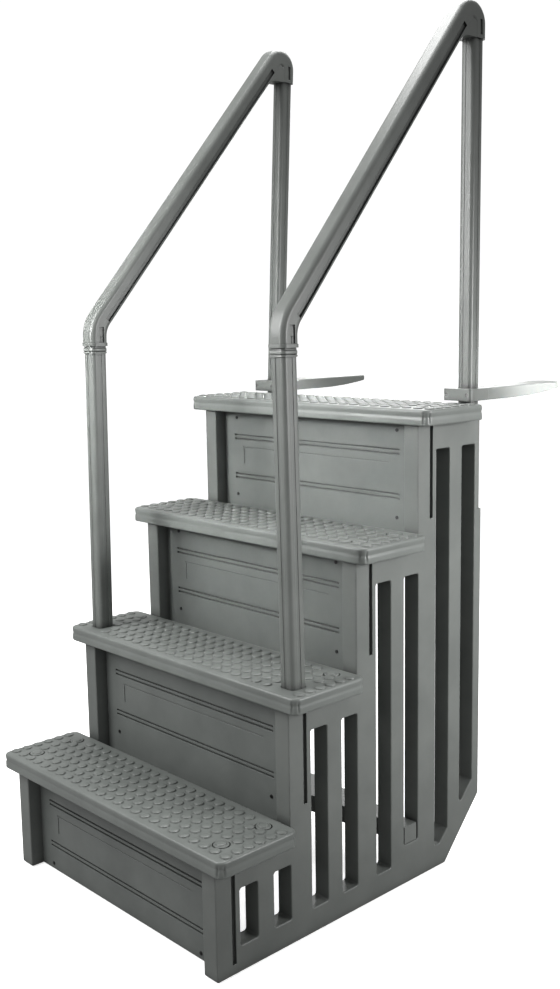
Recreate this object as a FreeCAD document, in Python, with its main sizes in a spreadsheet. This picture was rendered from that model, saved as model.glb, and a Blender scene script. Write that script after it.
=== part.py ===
import FreeCAD, Part
import math
import os
import Sketcher

# Four-step in-pool step ladder with two slotted side panels, textured treads, riser panels
# and two handrails whose deck flanges slide on the rear uprights.
# Frame: +X to the right of a person facing the steps, +Y towards the deck, +Z up.
# The origin is on the floor, at the middle of the overall width and depth.

SIZES = {
    # overall layout
    "rise": 305, "run": 227, "depth_half": 665, "floor_gap": 3,
    # treads
    "tread_width": 896, "tread_depth": 233, "tread_thick": 39, "tread_wall": 4, "tread_corner": 20,
    "tread_edge": 5, "tread_foot_round": 3, "rib_thick": 3, "rib_pitch": 112,
    "nub_radius": 11, "nub_height": 2.5, "nub_pitch_x": 35.8, "nub_pitch_y": 33,
    "nub_columns": 25, "nub_rows": 6, "nub_first": 32,
    # sockets, screws and caps of the treads
    "socket_x": 378, "socket_front": 63, "socket_rear": 189, "socket_wall": 7, "socket_gap": 1,
    "boss_radius": 27, "cap_radius": 20, "cap_gap": 0.2, "cap_depth": 9, "cap_skirt": 4, "cap_roof": 2,
    "cap_crown": 1.5, "screw_radius": 4, "screw_head_radius": 8, "screw_head_height": 4,
    "screw_bite": 26, "screw_end_gap": 1,
    # side panels
    "panel_half": 405, "panel_thick": 46, "panel_setback": 20, "panel_rear": 959,
    "chamfer_depth": 143, "chamfer_height": 156, "panel_round": 6, "panel_edge": 3,
    "slot_offset": 71, "slot_pitch": 104, "slot_width": 54, "slot_drop": 105, "slot_foot": 65,
    "slot_margin": 88, "tie_slot_foot": 108, "flute_offset": 45, "flute_width": 12, "flute_depth": 8,
    "flute_length": 238, "rear_flute_width": 16,
    # risers
    "riser_setback": 36, "riser_thick": 12, "riser_groove": 5, "riser_groove_depth": 6,
    "riser_groove_half": 315, "riser_upper": 110, "riser_lower": 224, "riser_pair_gap": 11,
    "riser_crease": 144, "riser_crease_half": 280, "riser_crease_height": 3, "riser_crease_depth": 1.5,
    "riser_mark_x": 275, "riser_mark_top": 147, "riser_mark_low": 193, "riser_gap": 0.5,
    "riser_foot_gap": 5, "riser_drop": 360, "riser_screw_x": 306, "riser_screw_top": 60,
    "riser_screw_low": 285, "riser_screw_radius": 3, "riser_head_radius": 4.5,
    "riser_head_height": 1.5, "riser_bite": 12,
    "lug_length": 68, "lug_depth": 16, "lug_height": 28, "lug_root": 1,
    # cross tie
    "tie_y": 676, "tie_bottom": 109, "tie_top": 155, "tie_middle_half": 59, "tie_end_half": 23,
    "tie_end_inset": 2, "tie_wall": 4, "tie_clear": 4,
    # rubber pads
    "pad_radius": 9, "pad_stem_radius": 4, "pad_stem": 6, "pad_stem_gap": 0.5,
    "pad_first": 119, "pad_pitch": 90, "pad_count": 7,
    # posts and uprights: heights are above the second tread
    "rail_lean": 1.18, "upright_lean": 1.85, "front_width": 45, "rear_width": 42,
    "post_round": 10, "post_wall": 3, "post_flute": 9, "post_flute_depth": 1, "post_socket": 32,
    "post_visible_top": 750, "ring_height": 19, "ring_width": 50, "ring_round": 12, "ring_gap": 0.5,
    # handrails: heights are above the second tread
    "rail_width": 52, "rail_round": 13, "rail_groove": 14, "slope_groove_depth": 6,
    "rail_groove_aside": 9, "rail_groove_end": 30, "bend_groove_aside": 4.5, "bend_groove_top": 820,
    "end_groove_depth": 3.5, "elbow_groove": 9, "elbow_groove_aside": 2, "groove_foot": 9, "web_half": 25.5,
    "rail_bottom": 770, "rail_bend_start": 795, "rail_bend_radius": 75, "rail_angle": 49.5,
    "rail_elbow_radius": 28, "rail_end": 1520, "rail_span": 692, "upright_foot": 588,
    "upright_insert": 48, "upright_end_gap": 1, "mouth_cut": 2, "lip_height": 8, "lip_flare": 2,
    # deck flanges
    "flange_z": 1226, "collar_height": 31, "collar_half": 45, "collar_front": 49, "collar_back": 28,
    "collar_round": 8, "collar_gap": 1.2, "tongue_flat": 118, "tongue_rise": 19, "tongue_round": 40,
    "tongue_edge": 4, "deck_hole_radius": 4, "deck_hole_first": 32, "deck_hole_pitch": 60,
    "deck_seat_radius": 8, "deck_seat_depth": 4, "clamp_bite": 22, "clamp_x": 32,
    "clamp_radius": 2.5, "clamp_head_radius": 4.5, "clamp_head": 4, "clamp_seat_gap": 0.5,
    "clamp_sink": 1,
    # how far a cutting outline runs past the face it cuts
    "overrun": 1,
}

doc = FreeCAD.newDocument("pool_ladder")
sheet = doc.addObject("Spreadsheet::Sheet", "sizes")
for row, (alias, number) in enumerate(SIZES.items(), start=1):
    sheet.set("A%d" % row, alias)
    sheet.set("B%d" % row, str(number))
    sheet.setAlias("B%d" % row, alias)
doc.recompute()

PIECES = []
PLANE_ROLES = {"XY": "XY_Plane", "XZ": "XZ_Plane", "YZ": "YZ_Plane"}
X_AXIS = FreeCAD.Vector(1, 0, 0)
Y_AXIS = FreeCAD.Vector(0, 1, 0)
Z_AXIS = FreeCAD.Vector(0, 0, 1)
QUARTER_TURN = math.pi / 2
NEAR = 1e-3
STEPS = (1, 2, 3, 4)
POST_STEP = 2
SOCKET_SIDES = ("-socket_x", "socket_x")
SOCKET_ROWS = ("socket_front", "socket_rear")


def bound(words):
    """Write the sheet's name in front of every size in an expression."""
    out = []
    word = ""
    for sign in words + " ":
        if sign.isalnum() or sign == "_":
            word += sign
            continue
        out.append("sizes." + word if word in SIZES else word)
        out.append(sign)
        word = ""
    return "".join(out).strip()


def value(words):
    """Number that an expression of sizes gives."""
    number = sheet.evalExpression(bound(words))
    return float(getattr(number, "Value", number))


def new_body(label, place=("0", "0", "0"), lean=None):
    """Body with a placement bound to the sizes; lean turns it about +Y."""
    body = doc.addObject("PartDesign::Body", label)
    body.Label = label
    if lean:
        turn = FreeCAD.Rotation(Y_AXIS, value(lean))
        body.Placement = FreeCAD.Placement(FreeCAD.Vector(), turn)
    for axis, words in zip("xyz", place):
        body.setExpression(".Placement.Base." + axis, bound(words))
    if lean:
        body.setExpression(".Placement.Rotation.Angle", bound(lean))
    PIECES.append(body)
    return body


def new_sketch(body, name, plane="XY", lift="0"):
    """Sketch on one of the body's origin planes, moved along that plane's normal by lift."""
    sketch = body.newObject("Sketcher::SketchObject", body.Label + "_" + name)
    role = PLANE_ROLES[plane]
    support = [item for item in body.Origin.OriginFeatures if item.Role == role][0]
    sketch.AttachmentSupport = [(support, "")]
    sketch.MapMode = "FlatFace"
    sketch.setExpression(".AttachmentOffset.Base.z", bound(lift))
    return sketch


def fix_point(sketch, geometry, corner, across, up):
    """Tie a point of the sketch to its origin by two bound distances."""
    for kind, words in (("DistanceX", across), ("DistanceY", up)):
        place = sketch.addConstraint(
            Sketcher.Constraint(kind, -1, 1, geometry, corner, value(words)))
        sketch.setExpression("Constraints[%d]" % place, bound(words))


def add_polygon(sketch, points):
    """Closed outline through points given as pairs of expressions."""
    spots = [FreeCAD.Vector(value(across), value(up), 0) for across, up in points]
    lines = []
    for index, spot in enumerate(spots):
        follower = spots[(index + 1) % len(spots)]
        lines.append(sketch.addGeometry(Part.LineSegment(spot, follower)))
    for index, line in enumerate(lines):
        follower = lines[(index + 1) % len(lines)]
        sketch.addConstraint(Sketcher.Constraint("Coincident", line, 2, follower, 1))
    for line, (across, up) in zip(lines, points):
        fix_point(sketch, line, 1, across, up)


def add_rectangle(sketch, left, right, low, high):
    add_polygon(sketch, [(left, low), (right, low), (right, high), (left, high)])


def add_circle(sketch, across, up, radius):
    centre = FreeCAD.Vector(value(across), value(up), 0)
    circle = sketch.addGeometry(Part.Circle(centre, Z_AXIS, value(radius)))
    fix_point(sketch, circle, 3, across, up)
    place = sketch.addConstraint(Sketcher.Constraint("Radius", circle, value(radius)))
    sketch.setExpression("Constraints[%d]" % place, bound(radius))


def add_round_square(sketch, half, radius, across="0", up="0"):
    """Square outline with round corners, its middle at (across, up)."""
    side = value(half)
    bend = value(radius)
    middle = FreeCAD.Vector(value(across), value(up), 0)
    inner = side - bend
    starts = [(-inner, -side), (side, -inner), (inner, side), (-side, inner)]
    ends = [(inner, -side), (side, inner), (-inner, side), (-side, -inner)]
    centres = [(inner, -inner), (inner, inner), (-inner, inner), (-inner, -inner)]
    lines = []
    arcs = []
    for index in range(4):
        start = middle + FreeCAD.Vector(starts[index][0], starts[index][1], 0)
        end = middle + FreeCAD.Vector(ends[index][0], ends[index][1], 0)
        lines.append(sketch.addGeometry(Part.LineSegment(start, end)))
        centre = middle + FreeCAD.Vector(centres[index][0], centres[index][1], 0)
        circle = Part.Circle(centre, Z_AXIS, bend)
        turn = (index - 1) * QUARTER_TURN
        arcs.append(sketch.addGeometry(Part.ArcOfCircle(circle, turn, turn + QUARTER_TURN)))
    flat = "(%s - %s)" % (half, radius)
    first_ends = [("-" + flat, "-" + half), (half, "-" + flat), (flat, half), ("-" + half, flat)]
    last_ends = [(flat, "-" + half), (half, flat), ("-" + flat, half), ("-" + half, "-" + flat)]
    for index in range(4):
        line = lines[index]
        arc = arcs[index]
        for corner, (shift_x, shift_y) in ((1, first_ends[index]), (2, last_ends[index])):
            fix_point(sketch, line, corner, across + " + " + shift_x, up + " + " + shift_y)
        sketch.addConstraint(Sketcher.Constraint("Coincident", line, 2, arc, 1))
        sketch.addConstraint(Sketcher.Constraint("Coincident", arc, 2, lines[(index + 1) % 4], 1))
        place = sketch.addConstraint(Sketcher.Constraint("Radius", arc, bend))
        sketch.setExpression("Constraints[%d]" % place, bound(radius))


def extrude(body, sketch, length, kind="Pad", reverse=False, tilted=False):
    """Pad or pocket of a bound length; a pocket that removes nothing is refused.

    A tilted one follows the rear upright, which leans back from the sketch's normal.
    """
    before = body.Shape.Volume if kind == "Pocket" else 0.0
    feature = body.newObject("PartDesign::" + kind, sketch.Name + "_" + kind.lower())
    feature.Profile = sketch
    feature.setExpression("Length", bound(length))
    feature.Reversed = reverse
    if tilted:
        tilt = value("tan(upright_lean)")
        feature.Reversed = False
        feature.UseCustomVector = True
        feature.AlongSketchNormal = True
        feature.Direction = FreeCAD.Vector(0, tilt, 1)
    sketch.Visibility = False
    doc.recompute()
    if kind == "Pocket" and body.Shape.Volume > before - NEAR:
        raise RuntimeError("pocket removes nothing: " + feature.Name)
    return feature


def round_edges(body, name, radius, wanted):
    """Fillet the edges of the tip whose wanted(edge) is true."""
    tip = body.Tip
    names = ["Edge%d" % (index + 1) for index, edge in enumerate(tip.Shape.Edges) if wanted(edge)]
    fillet = body.newObject("PartDesign::Fillet", body.Label + "_" + name)
    fillet.Base = (tip, names)
    fillet.setExpression("Radius", bound(radius))
    doc.recompute()
    return fillet


def runs_along(edge, axis):
    """True for a straight edge parallel to one axis of its body."""
    if edge.Curve.TypeId != "Part::GeomLine":
        return False
    return abs(edge.tangentAt(edge.FirstParameter).dot(axis)) > 1 - NEAR


def mirrored(source, label):
    """Right-hand twin of a left-hand piece."""
    twin = doc.addObject("Part::Mirroring", label)
    twin.Label = label
    twin.Source = source
    twin.Base = FreeCAD.Vector(0, 0, 0)
    twin.Normal = X_AXIS
    PIECES.append(twin)
    return twin


# ---- treads: open-bottomed shells with a nubbed top, ribs and four bosses ----

def tread_sockets(step):
    """Places of the screwed and capped bosses of one tread, as expressions."""
    places = []
    for side in SOCKET_SIDES:
        for depth in SOCKET_ROWS:
            if step == POST_STEP and depth == "socket_front":
                continue
            places.append((side, depth))
    return places


def tread_place(step):
    return ("0", "%d * run - depth_half" % (step - 1), "%d * rise" % step)


def add_nubs(body):
    """Field of low round nubs over the whole top, in straight rows and columns."""
    nub = new_sketch(body, "nub", lift="-tread_wall / 2")
    add_circle(nub, "-nub_pitch_x * (nub_columns - 1) / 2", "nub_first", "nub_radius")
    nub_pad = extrude(body, nub, "nub_height + tread_wall / 2")
    field = body.newObject("PartDesign::MultiTransform", body.Label + "_nubs")
    field.Originals = [nub_pad]
    patterns = []
    for axis, pitch, count in (("H_Axis", "nub_pitch_x", "nub_columns"),
                               ("V_Axis", "nub_pitch_y", "nub_rows")):
        pattern = body.newObject("PartDesign::LinearPattern", body.Label + "_" + count)
        pattern.Direction = (nub, [axis])
        pattern.Occurrences = int(value(count))
        pattern.setExpression("Length", bound("%s * (%s - 1)" % (pitch, count)))
        pattern.setExpression("Occurrences", bound(count))
        patterns.append(pattern)
    field.Transformations = patterns
    body.Tip = field
    doc.recompute()


def clear_nubs(body):
    """Takes the four nubs round each boss away; the last nub column but one is over the boss."""
    clear = new_sketch(body, "clear_zones", lift="nub_height")
    for near, far in (("-11.5", "-9.5"), ("9.5", "11.5")):
        for first, last in (("0.5", "1.5"), ("3.5", "5.5")):
            add_rectangle(clear, near + " * nub_pitch_x", far + " * nub_pitch_x",
                          "nub_first + %s * nub_pitch_y" % first,
                          "nub_first + %s * nub_pitch_y" % last)
    extrude(body, clear, "nub_height", "Pocket")


def add_bosses(body, step):
    """Round bosses for the screws and, on the tread that holds the posts, square sockets."""
    bosses = new_sketch(body, "bosses", lift="-tread_wall")
    for side in SOCKET_SIDES:
        for depth in SOCKET_ROWS:
            if (side, depth) in tread_sockets(step):
                add_circle(bosses, side, depth, "boss_radius")
            else:
                add_round_square(bosses, "(front_width / 2 + socket_wall)", "post_round", side, depth)
    extrude(body, bosses, "tread_thick - tread_wall", reverse=True)


def cut_sockets(body, step):
    """Cap seats, screw holes and the front posts' sockets."""
    seats = new_sketch(body, "cap_seats", lift="nub_height")
    holes = new_sketch(body, "screw_holes")
    for side, depth in tread_sockets(step):
        add_circle(seats, side, depth, "cap_radius")
        add_circle(holes, side, depth, "screw_radius")
    extrude(body, seats, "nub_height + cap_depth", "Pocket")
    extrude(body, holes, "tread_thick", "Pocket")
    if step == POST_STEP:
        posts = new_sketch(body, "post_sockets", lift="nub_height")
        for side in SOCKET_SIDES:
            add_round_square(posts, "(front_width / 2 + socket_gap)", "post_round", side, "socket_front")
        extrude(body, posts, "nub_height + post_socket + socket_gap", "Pocket")


def make_tread(step):
    body = new_body("tread_%d" % step, tread_place(step))
    outline = new_sketch(body, "outline")
    add_rectangle(outline, "-tread_width / 2", "tread_width / 2", "0", "tread_depth")
    extrude(body, outline, "tread_thick", reverse=True)
    foot = NEAR - value("tread_thick")
    round_edges(body, "corners", "tread_corner", lambda edge: runs_along(edge, Z_AXIS))
    round_edges(body, "top_edge", "tread_edge", lambda edge: abs(edge.BoundBox.ZMin) < NEAR)
    round_edges(body, "foot_edge", "tread_foot_round", lambda edge: edge.BoundBox.ZMax < foot)

    hollow = new_sketch(body, "hollow", lift="-tread_thick")
    add_rectangle(hollow, "tread_wall - tread_width / 2", "tread_width / 2 - tread_wall",
                  "tread_wall", "tread_depth - tread_wall")
    extrude(body, hollow, "tread_thick - tread_wall", "Pocket", reverse=True)

    ribs = new_sketch(body, "ribs", lift="-tread_wall")
    for place in (-3, -2, -1, 0, 1, 2, 3):
        middle = "%d * rib_pitch" % place
        add_rectangle(ribs, middle + " - rib_thick / 2", middle + " + rib_thick / 2",
                      "tread_wall / 2", "tread_depth - tread_wall / 2")
    extrude(body, ribs, "tread_thick - 3 * tread_wall", reverse=True)

    add_bosses(body, step)
    add_nubs(body)
    clear_nubs(body)
    cut_sockets(body, step)


def make_tread_screws(step):
    """Screws that hold one tread down on the side panels, a separate solid under each cap."""
    body = new_body("tread_screws_%d" % step, tread_place(step))
    body.AllowCompound = True
    heads = new_sketch(body, "heads", lift="-cap_depth")
    shanks = new_sketch(body, "shanks", lift="screw_end_gap - tread_thick - screw_bite")
    for side, depth in tread_sockets(step):
        add_circle(heads, side, depth, "screw_head_radius")
        add_circle(shanks, side, depth, "screw_radius")
    extrude(body, heads, "screw_head_height")
    extrude(body, shanks, "tread_thick - cap_depth + screw_bite")


def make_tread_caps(step):
    """Round caps that close the screw seats of one tread."""
    body = new_body("tread_caps_%d" % step, tread_place(step))
    body.AllowCompound = True
    discs = new_sketch(body, "discs", lift="-cap_depth")
    hollows = new_sketch(body, "hollows", lift="-cap_depth")
    for side, depth in tread_sockets(step):
        add_circle(discs, side, depth, "cap_radius - cap_gap")
        add_circle(hollows, side, depth, "cap_radius - cap_skirt")
    extrude(body, discs, "cap_depth + cap_crown")
    top = value("cap_crown") - NEAR
    round_edges(body, "crown", "cap_crown", lambda edge: edge.BoundBox.ZMin > top)
    extrude(body, hollows, "cap_depth - cap_roof", "Pocket", reverse=True)


# ---- side panels ----

def bay_front(step):
    return "(panel_setback + %d * run)" % (step - 1)


def cut_slots(body):
    """Two tall slots in each bay; the rearmost ones end in line with the panel's chamfer."""
    slots = new_sketch(body, "slots", "YZ", "-panel_half")
    slant = "(panel_rear - chamfer_depth - slot_margin)"
    for step in STEPS:
        top = "%d * rise - slot_drop" % step
        for number in (0, 1):
            near = "%s + slot_offset + %d * slot_pitch" % (bay_front(step), number)
            far = near + " + slot_width"
            if step < STEPS[-1]:
                foot = "tie_slot_foot" if (step, number) == (3, 1) else "slot_foot"
                add_rectangle(slots, near, far, foot, top)
            elif number == 0:
                add_polygon(slots, [(near, "slot_foot"), ("slot_foot + " + slant, "slot_foot"),
                                    (far, far + " - " + slant), (far, top), (near, top)])
            else:
                add_polygon(slots, [(near, near + " - " + slant), (far, far + " - " + slant),
                                    (far, top), (near, top)])
    extrude(body, slots, "panel_thick", "Pocket", reverse=True)


def cut_flutes(body):
    """Upright grooves in the outer face behind each bay's front edge and at the rear corner."""
    flutes = new_sketch(body, "flutes", "YZ", "-panel_half")
    for step in STEPS:
        near = bay_front(step) + " + flute_offset"
        top = "%d * rise - tread_thick" % step
        add_rectangle(flutes, near, near + " + flute_width", top + " - flute_length", top)
    add_rectangle(flutes, "panel_rear - rear_flute_width", "panel_rear",
                  "4 * rise - tread_thick - flute_length", "4 * rise - tread_thick")
    extrude(body, flutes, "flute_depth", "Pocket", reverse=True)


def add_lugs(body, step):
    """Blocks on the inner face that one riser is screwed to."""
    inner = "panel_thick - panel_half"
    back = "%s + riser_setback + riser_thick" % bay_front(step)
    lugs = new_sketch(body, "lugs_%d" % step, "XZ", "-(%s)" % back)
    pilots = new_sketch(body, "lug_pilots_%d" % step, "XZ", "-(%s)" % back)
    for drop in ("riser_screw_top", "riser_screw_low"):
        middle = "%d * rise - %s" % (step, drop)
        add_rectangle(lugs, inner + " - lug_root", inner + " + lug_length",
                      middle + " - lug_height / 2", middle + " + lug_height / 2")
        add_circle(pilots, "-riser_screw_x", middle, "riser_screw_radius")
    extrude(body, lugs, "lug_depth", reverse=True)
    extrude(body, pilots, "lug_depth", "Pocket")


def make_side_panel():
    """Left panel: a stepped board with two tall slots under each tread."""
    body = new_body("left_side_panel", ("0", "-depth_half", "0"))
    outline = new_sketch(body, "outline", "YZ", "-panel_half")
    points = [(bay_front(1), "floor_gap"), ("panel_rear - chamfer_depth", "floor_gap"),
              ("panel_rear", "chamfer_height")]
    for step in reversed(STEPS):
        height = "%d * rise - tread_thick" % step
        points.append(("panel_rear" if step == STEPS[-1] else bay_front(step + 1), height))
        points.append((bay_front(step), height))
    add_polygon(outline, points)
    extrude(body, outline, "panel_thick")

    cut_slots(body)
    outer_face = NEAR - value("panel_half")
    inner_face = value("panel_thick - panel_half") - NEAR
    round_edges(body, "corners", "panel_round", lambda edge: runs_along(edge, X_AXIS))
    round_edges(body, "outer_edges", "panel_edge", lambda edge: edge.BoundBox.XMax < outer_face)
    round_edges(body, "inner_edges", "panel_edge", lambda edge: edge.BoundBox.XMin > inner_face)
    cut_flutes(body)

    for step in STEPS:
        add_lugs(body, step)
        holes = new_sketch(body, "screw_holes_%d" % step, lift="%d * rise - tread_thick" % step)
        for side, depth in tread_sockets(step):
            if side == "-socket_x":
                add_circle(holes, side, "%s + %d * run" % (depth, step - 1), "screw_radius")
        extrude(body, holes, "screw_bite", "Pocket")

    stems = new_sketch(body, "pad_holes", lift="floor_gap")
    for across, along in pad_spots():
        add_circle(stems, across, along, "pad_stem_radius")
    extrude(body, stems, "pad_stem", "Pocket", reverse=True)
    return body


def pad_spots():
    """Middles of the rubber pads along the bottom edge of the left panel."""
    return [("panel_thick / 2 - panel_half", "pad_first + %d * pad_pitch" % number)
            for number in range(int(value("pad_count")))]


def make_foot_pads():
    """Rubber pads under the left panel, each with a stem in the panel's bottom edge."""
    body = new_body("left_foot_pads", ("0", "-depth_half", "0"))
    body.AllowCompound = True
    pads = new_sketch(body, "pads")
    stems = new_sketch(body, "stems")
    for across, along in pad_spots():
        add_circle(pads, across, along, "pad_radius")
        add_circle(stems, across, along, "pad_stem_radius")
    extrude(body, pads, "floor_gap")
    extrude(body, stems, "floor_gap + pad_stem - pad_stem_gap")
    return body


# ---- risers: grooved boards between the side panels ----

def riser_place(step):
    return ("0", "%s + riser_setback - depth_half" % bay_front(step), "%d * rise" % step)


def riser_screw_spots():
    return [(side, drop) for side in ("-riser_screw_x", "riser_screw_x")
            for drop in ("-riser_screw_top", "-riser_screw_low")]


def make_riser(step):
    body = new_body("riser_panel_%d" % step, riser_place(step))
    board = new_sketch(body, "board", "XZ")
    half = "panel_half - panel_thick - riser_gap"
    foot = "riser_foot_gap - rise" if step == STEPS[0] else "-riser_drop"
    add_rectangle(board, "-(%s)" % half, half, foot, "-tread_thick - riser_gap")
    extrude(body, board, "riser_thick", reverse=True)

    grooves = new_sketch(body, "grooves", "XZ")
    for drop in ("riser_upper", "riser_upper + riser_pair_gap", "riser_lower",
                 "riser_lower + riser_pair_gap"):
        add_rectangle(grooves, "-riser_groove_half", "riser_groove_half",
                      "-(%s) - riser_groove / 2" % drop, "-(%s) + riser_groove / 2" % drop)
    extrude(body, grooves, "riser_groove_depth", "Pocket")

    marks = new_sketch(body, "crease", "XZ")
    add_rectangle(marks, "-riser_crease_half", "riser_crease_half",
                  "-riser_crease - riser_crease_height / 2", "-riser_crease + riser_crease_height / 2")
    add_rectangle(marks, "-riser_mark_x - riser_groove / 2", "-riser_mark_x + riser_groove / 2",
                  "-riser_mark_low", "-riser_mark_top")
    extrude(body, marks, "riser_crease_depth", "Pocket")

    holes = new_sketch(body, "screw_holes", "XZ")
    for across, up in riser_screw_spots():
        add_circle(holes, across, up, "riser_screw_radius")
    extrude(body, holes, "riser_thick", "Pocket")


def make_riser_screws(step):
    body = new_body("riser_screws_%d" % step, riser_place(step))
    body.AllowCompound = True
    heads = new_sketch(body, "heads", "XZ")
    shanks = new_sketch(body, "shanks", "XZ", "riser_head_height / 2")
    for across, up in riser_screw_spots():
        add_circle(heads, across, up, "riser_head_radius")
        add_circle(shanks, across, up, "riser_screw_radius")
    extrude(body, heads, "riser_head_height")
    extrude(body, shanks, "riser_head_height / 2 + riser_thick + riser_bite", reverse=True)


# ---- cross tie: a tapered beam whose ends rest in the short slots of the panels ----

def make_cross_tie():
    body = new_body("cross_tie", ("0", "tie_y - depth_half", "tie_bottom"))
    neck = "panel_half - panel_thick - tie_clear"
    outline = new_sketch(body, "outline")
    end = "panel_half - tie_end_inset"
    add_polygon(outline, [("-(%s)" % end, "-tie_end_half"), ("-(%s)" % neck, "-tie_end_half"),
                          ("0", "-tie_middle_half"), (neck, "-tie_end_half"),
                          (end, "-tie_end_half"), (end, "tie_end_half"),
                          (neck, "tie_end_half"), ("0", "tie_middle_half"),
                          ("-(%s)" % neck, "tie_end_half"), ("-(%s)" % end, "tie_end_half")])
    extrude(body, outline, "tie_top - tie_bottom")
    hollow = new_sketch(body, "hollow")
    inner = neck + " - tie_wall"
    narrow = "tie_end_half - tie_wall"
    wide = "tie_middle_half - tie_wall"
    add_polygon(hollow, [("-(%s)" % inner, "-(%s)" % narrow), ("0", "-(%s)" % wide),
                         (inner, "-(%s)" % narrow), (inner, narrow), ("0", wide),
                         ("-(%s)" % inner, narrow)])
    extrude(body, hollow, "tie_top - tie_bottom - tie_wall", "Pocket", reverse=True)


# ---- handrails: everything here leans inwards with the posts ----

RAIL_BASE = ("-socket_x", "run + socket_front - depth_half", "%d * rise" % POST_STEP)


def make_tube(label, width, depth, foot, top, tilted=False):
    """Square tube with round corners and a shallow flute on each face."""
    body = new_body(label, RAIL_BASE, "rail_lean")
    outer = new_sketch(body, "outer", lift=foot)
    add_round_square(outer, "(%s / 2)" % width, "post_round", "0", depth)
    length = "%s - (%s)" % (top, foot)
    extrude(body, outer, length, tilted=tilted)
    bore = new_sketch(body, "bore", lift=foot)
    add_round_square(bore, "(%s / 2 - post_wall)" % width, "(post_round - post_wall)", "0", depth)
    extrude(body, bore, length, "Pocket", reverse=True, tilted=tilted)
    flutes = new_sketch(body, "flutes", lift=foot)
    deep = "(%s / 2 - post_flute_depth)" % width
    past = "(%s / 2 + overrun)" % width
    for sign in ("-", ""):
        edges = sorted((sign + deep, sign + past), key=value)
        add_rectangle(flutes, edges[0], edges[1],
                      depth + " - post_flute / 2", depth + " + post_flute / 2")
        add_rectangle(flutes, "-post_flute / 2", "post_flute / 2",
                      depth + " + " + edges[0], depth + " + " + edges[1])
    extrude(body, flutes, length, "Pocket", reverse=True, tilted=tilted)
    return body


def make_coupler():
    """Square ring between the top of the front post and the mouth of the handrail."""
    body = new_body("left_rail_coupler", RAIL_BASE, "rail_lean")
    ring = new_sketch(body, "ring", lift="post_visible_top")
    add_round_square(ring, "(ring_width / 2)", "ring_round")
    add_round_square(ring, "(front_width / 2 + ring_gap)", "post_round")
    extrude(body, ring, "ring_height")
    return body


# The handrail's axis lies in the YZ plane of the leaning frame: straight up from the post, a wide
# bend, a slope at rail_angle and a tight elbow whose centre is at (ELBOW_Y, ELBOW_LEVEL).
RADIUS_STEP = "(rail_bend_radius - rail_elbow_radius)"
ELBOW_Y = "(rail_span - rail_elbow_radius / cos(upright_lean))"
ELBOW_LEVEL = ("(rail_bend_start + %s * cos(rail_angle) + tan(rail_angle)"
               " * (%s - rail_bend_radius + %s * sin(rail_angle)))" % (RADIUS_STEP, ELBOW_Y, RADIUS_STEP))
SLOPE_FOOT = ("rail_bend_radius * (1 - sin(rail_angle))",
              "rail_bend_start + rail_bend_radius * cos(rail_angle)")
SLOPE_HEAD = ("%s - rail_elbow_radius * sin(rail_angle)" % ELBOW_Y,
              ELBOW_LEVEL + " + rail_elbow_radius * cos(rail_angle)")
ELBOW_FOOT = ("%s + rail_elbow_radius * cos(upright_lean)" % ELBOW_Y,
              ELBOW_LEVEL + " - rail_elbow_radius * sin(upright_lean)")


def upright_at(level):
    """Depth of the rear upright's axis at a height above the post's socket."""
    return "(rail_span - (%s - (%s)) * tan(upright_lean))" % (ELBOW_LEVEL, level)


def add_rail_path(sketch):
    """The axis of the handrail, with its straight ends, its slope and its two bends."""
    corners = [("0", "rail_bottom"), ("0", "rail_bend_start"), SLOPE_FOOT, SLOPE_HEAD,
               ELBOW_FOOT, (upright_at("rail_end"), "rail_end")]
    spots = [FreeCAD.Vector(value(across), value(up), 0) for across, up in corners]
    lines = []
    for first in (0, 2, 4):
        line = sketch.addGeometry(Part.LineSegment(spots[first], spots[first + 1]))
        fix_point(sketch, line, 1, *corners[first])
        fix_point(sketch, line, 2, *corners[first + 1])
        lines.append(line)
    slope_turn = QUARTER_TURN + math.radians(value("rail_angle"))
    back_turn = -math.radians(value("upright_lean"))
    bends = [(("rail_bend_radius", "rail_bend_start"), "rail_bend_radius", slope_turn, math.pi),
             ((ELBOW_Y, ELBOW_LEVEL), "rail_elbow_radius", back_turn, slope_turn)]
    for number, (middle, radius, start, stop) in enumerate(bends):
        centre = FreeCAD.Vector(value(middle[0]), value(middle[1]), 0)
        circle = Part.Circle(centre, Z_AXIS, value(radius))
        arc = sketch.addGeometry(Part.ArcOfCircle(circle, start, stop))
        sketch.addConstraint(Sketcher.Constraint("Coincident", arc, 2, lines[number], 2))
        sketch.addConstraint(Sketcher.Constraint("Coincident", arc, 1, lines[number + 1], 1))
        place = sketch.addConstraint(Sketcher.Constraint("Radius", arc, value(radius)))
        sketch.setExpression("Constraints[%d]" % place, bound(radius))


def along_slope(base, along, aside):
    """Point beside the slope: along it and aside towards its underside, from a base point."""
    return ("%s + (%s) * cos(rail_angle) + (%s) * sin(rail_angle)" % (base[0], along, aside),
            "%s + (%s) * sin(rail_angle) - (%s) * cos(rail_angle)" % (base[1], along, aside))


def fill_elbow(body):
    """Flat web in the crook between the slope and the upright's socket."""
    web = new_sketch(body, "web", "YZ", "-web_half")
    inside = upright_at("rail_end") + " - rail_width / 2"
    below = along_slope(SLOPE_HEAD, "-2 * rail_width", "0")
    add_polygon(web, [(inside + " - rail_elbow_radius", "rail_end"),
                      (inside + " + rail_round", "rail_end"),
                      (inside + " + rail_round", ELBOW_LEVEL), SLOPE_HEAD, below])
    extrude(body, web, "2 * web_half")


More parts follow.
